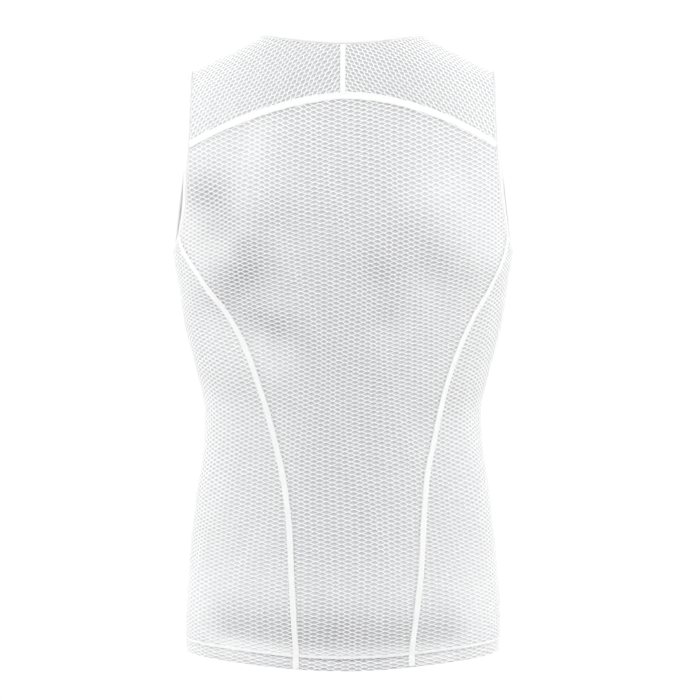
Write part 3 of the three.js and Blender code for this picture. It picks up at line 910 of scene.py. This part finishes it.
def stage_material(name, colour):
    """Matt white studio paint."""
    material = bpy.data.materials.new(name)
    material.use_nodes = True
    shader = material.node_tree.nodes["Principled BSDF"]
    shader.inputs["Base Color"].default_value = linear(colour)
    shader.inputs["Roughness"].default_value = 0.9
    return material


MATERIALS = {}


def shared(name, *settings):
    if name not in MATERIALS:
        MATERIALS[name] = cloth_material(name, *settings)
    return MATERIALS[name]


def net_material(settings):
    """Warp-knitted polyester net: matt raised threads, its yarn showing as a 0.7 mm grain."""
    colours = settings.thread_colour, settings.shaded_ground_colour, settings.lit_ground_colour
    return shared("knitted_polyester_net", *colours, 0.6, 0.5, 0.7, 0.12)


def trim_material(settings):
    """Textured polyester seam thread: a little smoother than the net, with a 0.5 mm grain."""
    return shared("covering_stitch_thread", *[settings.thread_colour] * 3, 0.55, 0.3, 0.5, 0.12)


def binding_material(settings):
    """Folded elastic tape of polyester and elastane: matt and close, with a 0.8 mm grain."""
    return shared("folded_elastic_binding", *[settings.binding_colour] * 3, 0.6, 0.3, 0.8, 0.16)


# ---- Sizes and colours a user would change ----


def length(name, description, millimetres, low, high):
    """A length that a user may change, given here in millimetres."""
    return bpy.props.FloatProperty(
        name=name,
        description=description,
        default=millimetres * MM,
        min=low * MM,
        max=high * MM,
        precision=5,
        unit="LENGTH",
    )


def colour(name, description, code):
    """A colour that a user may change, given here as sRGB hex."""
    return bpy.props.FloatVectorProperty(
        name=name, description=description, default=linear(code), size=4, min=0, max=1, subtype="COLOR"
    )


class NetSettings(bpy.types.PropertyGroup):
    thread_width: length("Thread width", "Width of a net thread", 1.5, 0.4, 3)
    relief: length("Relief", "Height of a thread over the sunk ground", 1.0, 0.1, 2)
    unevenness: length("Unevenness", "How far cells stray from an even net", 0.75, 0, 2)
    thread_colour: colour("Thread colour", "Colour of the threads", "#fcfcfc")
    # A shaded and a lit copy of the ground's grey: painted shade and painted light, mixed by the ground's
    # "through" attribute.
    shaded_ground_colour: colour("Deep ground", "Colour of the sheer ground over the hollow", "#86868b")
    lit_ground_colour: colour("Pale ground", "Colour of the ground where light comes through", "#e6e6e8")


class TrimSettings(bpy.types.PropertyGroup):
    yoke_seam: length("Yoke seam", "Width of the yoke seam", 8.4, 3, 15)
    centre_seam: length("Centre seam", "Width of the centre back seam", 5.5, 3, 15)
    long_seam: length("Long seams", "Width of the seams down the body", 6.2, 3, 15)
    plain_seam: length("Front seams", "Width of the plain seams in front", 6.0, 3, 15)
    rib: length("Rib", "Spacing of a flat seam's threads", 2.3, 0.8, 4)
    stitch: length("Stitch", "Length from stitch to stitch", 2.8, 1.5, 6)
    thread_colour: colour("Seam colour", "Colour of the seam thread", "#efefef")
    binding_colour: colour("Binding colour", "Colour of the binding", "#ececed")


class StageSettings(bpy.types.PropertyGroup):
    camera_distance: length("Camera distance", "From the camera to the middle", 3000, 500, 9000)
    view_width: length("View width", "Width of the view at the garment", 728, 100, 3000)
    floor_height: length("Floor height", "Height of the floor", -1420, -3000, -700)


# ---- Pieces ----


def dress(piece, slot, *nodes):
    """Puts a finished piece on the body and hides the CAD nodes that it stands for; its slot is not used."""
    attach(piece, "root")
    if nodes:
        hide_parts(*nodes)
    return piece


WALL_INNER = -0.45
HEM_INNER = -1.5
BODY_WIDTH, BODY_HEIGHT, FRONT_HEIGHT = 420.0, 660.0, 720.0
YOKE_BIAS = math.radians(135)  # the yoke's net is cut on the bias, its courses rising to the centre


def knit_cloth(settings, place, limits, seed, size, centre, bias=0.0, inner=WALL_INNER, rounded=True):
    """Flat net, cut to its limits, with its courses turned by a bias."""
    bm = lattice(*size)
    bmesh.ops.rotate(bm, matrix=Matrix.Rotation(bias, 3, "Z"), verts=bm.verts)
    bmesh.ops.translate(bm, vec=(*centre, 0), verts=bm.verts)
    verts = bm.verts[:]
    set_coordinates(verts, jitter(coordinates(verts), seed, settings.unevenness / MM))
    trim(bm, place, limits)
    flat = np.ptp(coordinates(bm.verts)[:, :2], axis=0) * MM
    area = sum(face.calc_area() for face in bm.faces) * MM**2
    knit(bm, settings, inner, rounded)
    return bm, flat, area


def knit_panel(name, settings, place, *cut, **ways):
    bm, flat, area = knit_cloth(settings, place, *cut, **ways)
    lay(bm, place)
    panel = make_object(bm, name, net_material(settings))
    return panel


def body_panels():
    """Each body panel: its grain line, and its limits at the sides."""
    return {
        "back": (0.0, [within_side(side, BACK, -1) for side in (LEFT, RIGHT)]),
        "front": (math.pi, [within_side(side, FRONT, 1) for side in (LEFT, RIGHT)]),
        "side_left": (-1.45, [within_side(LEFT, BACK, 1), within_side(LEFT, FRONT, -1)]),
        "side_right": (1.45, [within_side(RIGHT, BACK, 1), within_side(RIGHT, FRONT, -1)]),
    }


PANEL_TOPS = {
    "back": below_yoke,
    "front": below_front_top(),
    "side_left": under_arm(LEFT),
    "side_right": under_arm(RIGHT),
}
BODY_SIZE = {
    "back": (BODY_WIDTH, BODY_HEIGHT),
    "front": (BODY_WIDTH, FRONT_HEIGHT),
    "side_left": (300.0, 480.0),
    "side_right": (300.0, 480.0),
}


class BASELAYER_OT_body(bpy.types.Operator):
    """Knit the back, front and side panels"""

    bl_idname = "base_layer.body"
    bl_label = "Body panels"

    def execute(self, context):
        settings = context.scene.base_layer_net
        nodes = {"back": "back_body", "front": "front_body"}
        for seed, (name, (grain, sides)) in enumerate(body_panels().items()):
            size = BODY_SIZE[name]
            limits = [*sides, above_hem(HEM_BAND + SEAM_GAP / 2), PANEL_TOPS[name]]
            cut = limits, seed, size, (0, size[1] / 2)
            panel = knit_panel(f"{name}_net", settings, body_place(grain), *cut, rounded=name != "front")
            dress(panel, "net", nodes.get(name, name))
        return {"FINISHED"}


class BASELAYER_OT_yokes(bpy.types.Operator):
    """Knit the two yoke halves, their cells rising aslant to the centre"""

    bl_idname = "base_layer.yokes"
    bl_label = "Yokes"

    def execute(self, context):
        settings = context.scene.base_layer_net
        for side in (LEFT, RIGHT):
            limits = [
                lambda p, side=side: p[:, 0] * side - SEAM_GAP / 2,
                off_neck,
                within_arm(side),
                lambda p: p[:, 2] - yoke_height(p[:, 0]) - SEAM_GAP / 2 + 1e3 * (p[:, 1] > 0),
                lambda p: FRONT_YOKE - p[:, 1] - SEAM_GAP / 2,
            ]
            name = f"yoke_{SIDE_NAMES[side]}"
            panel = knit_panel(
                f"{name}_net", settings, yoke_place(side), limits, 10 + side, (330, 330), (92, 60), YOKE_BIAS
            )
            dress(panel, "yoke_net", name)
        return {"FINISHED"}


def below_stitch(p):
    """How far the cloth just under the covering stitch sinks into a crease and is darkened with painted
    shadow, from 0 to 1, most at the back and front.
    """
    turn = turn_of(p)
    under = hem_height(turn) + HEM_BAND - 3.2 - p[:, 2]
    return 0.75 * np.cos(turn) ** 2 * np.exp(-((under / 1.2) ** 2))


class BASELAYER_OT_hem(bpy.types.Operator):
    """Turn up the hem all round"""

    bl_idname = "base_layer.hem"
    bl_label = "Hem"

    def execute(self, context):
        settings = context.scene.base_layer_net
        whole = bmesh.new()
        for seed, (name, (grain, sides)) in enumerate(body_panels().items()):
            limits = [
                *sides,
                above_hem(0),
                lambda p: hem_height(turn_of(p)) + HEM_BAND - SEAM_GAP / 2 - p[:, 2],
            ]
            size = (BODY_WIDTH, 60.0)
            place = body_place(grain)
            band, flat, area = knit_cloth(settings, place, limits, seed, size, (0, 30.0), inner=HEM_INNER)
            lay(band, place, below_stitch)
            part = bpy.data.meshes.new(name)
            band.to_mesh(part)
            whole.from_mesh(part)
            band.free()
            bpy.data.meshes.remove(part)
        hem = make_object(whole, "hem_band", net_material(settings))
        dress(hem, "net", "hem")
        return {"FINISHED"}


CROSS = 8  # faces across a flat seam


def ribbon(name, line, width, settings, lift, height):
    """A flat seam of close cross threads, laid on the cloth along a line."""
    line = even(line, settings.rib / MM / 4)
    across = np.cross(normals(line), directions(line, False))
    bm = bmesh.new()
    bmesh.ops.create_grid(bm, x_segments=len(line) - 1, y_segments=CROSS, size=0.5)
    bm.normal_update()
    bmesh.ops.solidify(bm, geom=bm.faces[:], thickness=1.0)
    thread = bm.verts.layers.float.new("thread")
    verts = bm.verts[:]
    for v in verts:
        v[thread] = 1.0
    flat = coordinates(verts)
    station = np.rint((flat[:, 0] + 0.5) * (len(line) - 1)).astype(int)
    side = flat[:, 1] * 2
    skew = np.where(side > 0, 0.25, -0.25)
    rib = np.abs(np.sin((station / 4 + skew) * math.pi))
    waver = 0.93 + 0.04 * np.sin(station * 0.21) + 0.03 * np.sin(station * 0.057 + 1) + 0.08 * rib
    crown = 1 - 0.4 * np.abs(side) ** 3 - 0.3 * np.exp(-((side / 0.16) ** 2))
    top = lift + height * crown * (0.4 + 0.6 * rib)
    z = np.where(flat[:, 2] > -0.5, top, lift - 0.25)
    p = on_skin(line[station] + across[station] * (side * width / 2 * waver)[:, None])
    set_coordinates(verts, raised(p, z))
    return make_object(bm, name, trim_material(settings))


SEAM_LIFT = 0.8
SEAM_HEIGHT = 0.75


class BASELAYER_OT_seams(bpy.types.Operator):
    """Lay the flat seams between the panels"""

    bl_idname = "base_layer.seams"
    bl_label = "Flat seams"

    def execute(self, context):
        settings = context.scene.base_layer_trim
        centre_z = np.linspace(YOKE_MIDDLE + 2, float(NECK_LINE[0, 2]) - 0.3, 60)
        seams = {
            "yoke_seam": (yoke_seam(), settings.yoke_seam),
            "centre_back_seam": (skin(np.zeros(60), centre_z), settings.centre_seam),
        }
        for side, word in SIDE_NAMES.items():
            seams[f"back_seam_{word}"] = (long_seam(side, BACK), settings.long_seam)
            seams[f"front_seam_{word}"] = (long_seam(side, FRONT), settings.plain_seam)
            seams[f"front_yoke_seam_{word}"] = (front_yoke_seam(side), settings.plain_seam)
        for name, (line, width) in seams.items():
            piece = ribbon(f"{name}_thread", line, width / MM, settings, SEAM_LIFT, SEAM_HEIGHT)
            dress(piece, "seam_thread", name)
        return {"FINISHED"}


AROUND = 20  # faces round a binding's section
BINDING_WALL = 0.7
OPENING = 2.6  # half the angle that the folded strip turns through
BOXY = 0.62  # under 1, the section's corners are fuller than an ellipse's


def bind(name, edge, band, centre, settings):
    """A strip folded round an edge, thickest at the fold and open towards the panel."""
    edge = even(edge, 2.4, closed=True)
    count = len(edge)
    bm = bmesh.new()
    bmesh.ops.create_grid(bm, x_segments=count, y_segments=AROUND, size=0.5)
    verts = bm.verts[:]
    flat = coordinates(verts)
    station = np.rint((flat[:, 0] + 0.5) * count).astype(int) % count
    share = np.rint((flat[:, 1] + 0.5) * AROUND) / AROUND
    inside = (share > 0.5) & (share < 1)
    angle = OPENING * np.where(share > 0.5, 3 - 4 * share, 4 * share - 1)
    cos, sin = np.cos(angle), np.sin(angle)
    across = band / 2 * (1 - np.sign(cos) * np.abs(cos) ** BOXY)
    thick = 1.25 - 0.3 * across / band
    z = np.sign(sin) * np.abs(sin) ** BOXY * (thick - BINDING_WALL * inside)
    across = np.where(inside, BINDING_WALL + across * (1 - BINDING_WALL / band), across)
    sideways = np.cross(normals(edge), directions(edge, True))
    sideways[np.sum(sideways * (edge - centre), axis=1) < 0] *= -1
    p = on_skin(edge[station] + sideways[station] * across[:, None])
    set_coordinates(verts, raised(p, z))
    bmesh.ops.remove_doubles(bm, verts=bm.verts, dist=1e-6)
    bmesh.ops.recalc_face_normals(bm, faces=bm.faces)
    thread = bm.verts.layers.float.new("thread")
    for v in bm.verts:
        v[thread] = 1.0
    strip = make_object(bm, name, binding_material(settings))
    return strip


def stitches(name, lines, heights, settings, closed=True):
    """Rows of short stitches along lines on the skin, at heights over it."""
    bm = bmesh.new()
    for line, height in zip(lines, heights):
        spots = even(line, settings.stitch / MM, closed)
        along, out = directions(spots, closed), normals(spots)
        centres = raised(spots, np.full(len(spots), height))
        for centre, forward, up in zip(centres, along, out):
            turn = Matrix((forward, np.cross(up, forward), up)).transposed().to_4x4()
            size = Matrix.Diagonal((settings.stitch * 0.42, 0.42 * MM, 0.28 * MM, 1))
            bmesh.ops.create_icosphere(
                bm, subdivisions=1, radius=1.0, matrix=Matrix.Translation(centre) @ turn @ size
            )
    bmesh.ops.recalc_face_normals(bm, faces=bm.faces)
    thread = bm.verts.layers.float.new("thread")
    for v in bm.verts:
        v[thread] = 1.0
    return make_object(bm, name, trim_material(settings))


class BASELAYER_OT_bindings(bpy.types.Operator):
    """Bind the neck and the armholes and stitch the bindings down"""

    bl_idname = "base_layer.bindings"
    bl_label = "Bindings"

    def execute(self, context):
        settings = context.scene.base_layer_trim
        edges = {"neck_binding": (NECK_EDGE, NECK_BAND, NECK_CENTRE)}
        for side, word in SIDE_NAMES.items():
            edges[f"armhole_binding_{word}"] = (ARM_EDGE[side], ARM_BAND, arm_centre(side))
        for name, (edge, band, centre) in edges.items():
            piece = bind(f"{name}_fold", edge, band, centre, settings)
            dress(piece, "binding", name)
            row = beside(edge, band * 0.78, centre)
            sewn = stitches(f"{name}_stitches", [row, row], [0.95, -0.95], settings)
            dress(sewn, "seam_thread")
        return {"FINISHED"}


class BASELAYER_OT_hem_stitch(bpy.types.Operator):
    """Lay the covering stitch along the top of the hem"""

    bl_idname = "base_layer.hem_stitch"
    bl_label = "Hem stitch"

    def execute(self, context):
        settings = context.scene.base_layer_trim
        turn = np.linspace(0, 2 * math.pi, 721)[:-1]
        line = skin(turn, hem_height(turn) + HEM_BAND - 0.6)
        piece = ribbon("hem_covering_stitch", np.concatenate([line, line[:1]]), 2.8, settings, 0.75, 0.6)
        dress(piece, "seam_thread")
        return {"FINISHED"}


# ---- Studio ----


def area_light(name, place, towards, size, power):
    light = bpy.data.lights.new(name, "AREA")
    light.shape = "RECTANGLE"
    light.size, light.size_y = size
    light.energy = power
    lamp = bpy.data.objects.new(name, light)
    lamp.location = place
    lamp.rotation_euler = (Vector(towards) - Vector(place)).to_track_quat("-Z", "Y").to_euler()
    bpy.context.scene.collection.objects.link(lamp)


class BASELAYER_OT_stage(bpy.types.Operator):
    """Set the floor, the soft light and the camera"""

    bl_idname = "base_layer.stage"
    bl_label = "Stage"

    def execute(self, context):
        settings = context.scene.base_layer_stage
        scene = context.scene
        low, high = CAD_BOX
        middle = (low[2] + high[2]) / 2

        bm = bmesh.new()
        bmesh.ops.create_circle(bm, cap_ends=True, radius=2.6, segments=96)
        bmesh.ops.translate(bm, vec=(0, 0, settings.floor_height), verts=bm.verts)
        floor = make_object(bm, "studio_floor", stage_material("matt_white_paint", "#f4f4f4"), False)

        world = bpy.data.worlds.new("soft_studio")
        world.use_nodes = True
        scene.world = world
        tree = world.node_tree
        tree.nodes.clear()
        direction = node(tree, "ShaderNodeTexCoord").outputs["Generated"]
        parts = node(tree, "ShaderNodeSeparateXYZ", None, Vector=direction).outputs
        behind = node(
            tree,
            "ShaderNodeMapRange",
            {"From Min": -1.0, "From Max": 0.8, "To Min": 0.73, "To Max": 1.02},
            Value=parts["Y"],
        )
        light = node(tree, "ShaderNodeBackground", {"Strength": 1.0}, Color=behind.outputs["Result"])
        node(tree, "ShaderNodeOutputWorld", None, Surface=light.outputs["Background"])

        area_light("top_softbox", (0.2, -1.8, 1.4), (0, 0, middle), (1.6, 0.9), 20)
        area_light("left_strip", (-2.1, -0.5, middle), (0, 0, middle), (0.8, 2.0), 12)
        area_light("right_strip", (2.1, -0.5, middle), (0, 0, middle), (0.8, 2.0), 10)

        camera = bpy.data.cameras.new("camera")
        camera.sensor_width = 36
        camera.lens = camera.sensor_width * settings.camera_distance / settings.view_width
        camera.clip_end = 50
        view = bpy.data.objects.new("camera", camera)
        view.location = (0.0073, -settings.camera_distance, middle - 0.003)
        view.rotation_euler = (math.pi / 2, 0, 0)
        scene.collection.objects.link(view)
        scene.camera = view
        scene.view_settings.view_transform = "Standard"
        return {"FINISHED"}


# ---- Panel and registration ----


class BASELAYER_PT_panel(bpy.types.Panel):
    """Sizes, colours and steps of the base layer"""

    bl_idname = "BASELAYER_PT_panel"
    bl_label = "Base layer"
    bl_space_type = "VIEW_3D"
    bl_region_type = "UI"
    bl_category = "Base layer"

    def draw(self, context):
        for group in ("net", "trim", "stage"):
            settings = getattr(context.scene, f"base_layer_{group}")
            box = self.layout.box()
            for name in settings.__annotations__:
                box.prop(settings, name)
        for operator in OPERATORS:
            self.layout.operator(operator.bl_idname)


GROUPS = {"net": NetSettings, "trim": TrimSettings, "stage": StageSettings}
OPERATORS = (
    BASELAYER_OT_stage,
    BASELAYER_OT_body,
    BASELAYER_OT_yokes,
    BASELAYER_OT_hem,
    BASELAYER_OT_hem_stitch,
    BASELAYER_OT_seams,
    BASELAYER_OT_bindings,
)


def register():
    for name, group in GROUPS.items():
        bpy.utils.register_class(group)
        setattr(bpy.types.Scene, f"base_layer_{name}", bpy.props.PointerProperty(type=group))
    for cls in (*OPERATORS, BASELAYER_PT_panel):
        bpy.utils.register_class(cls)


def unregister():
    for cls in (BASELAYER_PT_panel, *reversed(OPERATORS)):
        bpy.utils.unregister_class(cls)
    for name, group in GROUPS.items():
        delattr(bpy.types.Scene, f"base_layer_{name}")
        bpy.utils.unregister_class(group)


def main():
    register()
    bpy.ops.base_layer.stage()
    bpy.ops.base_layer.body()
    bpy.ops.base_layer.yokes()
    bpy.ops.base_layer.hem()
    bpy.ops.base_layer.hem_stitch()
    bpy.ops.base_layer.seams()
    bpy.ops.base_layer.bindings()


if __name__ == "__main__":
    main()
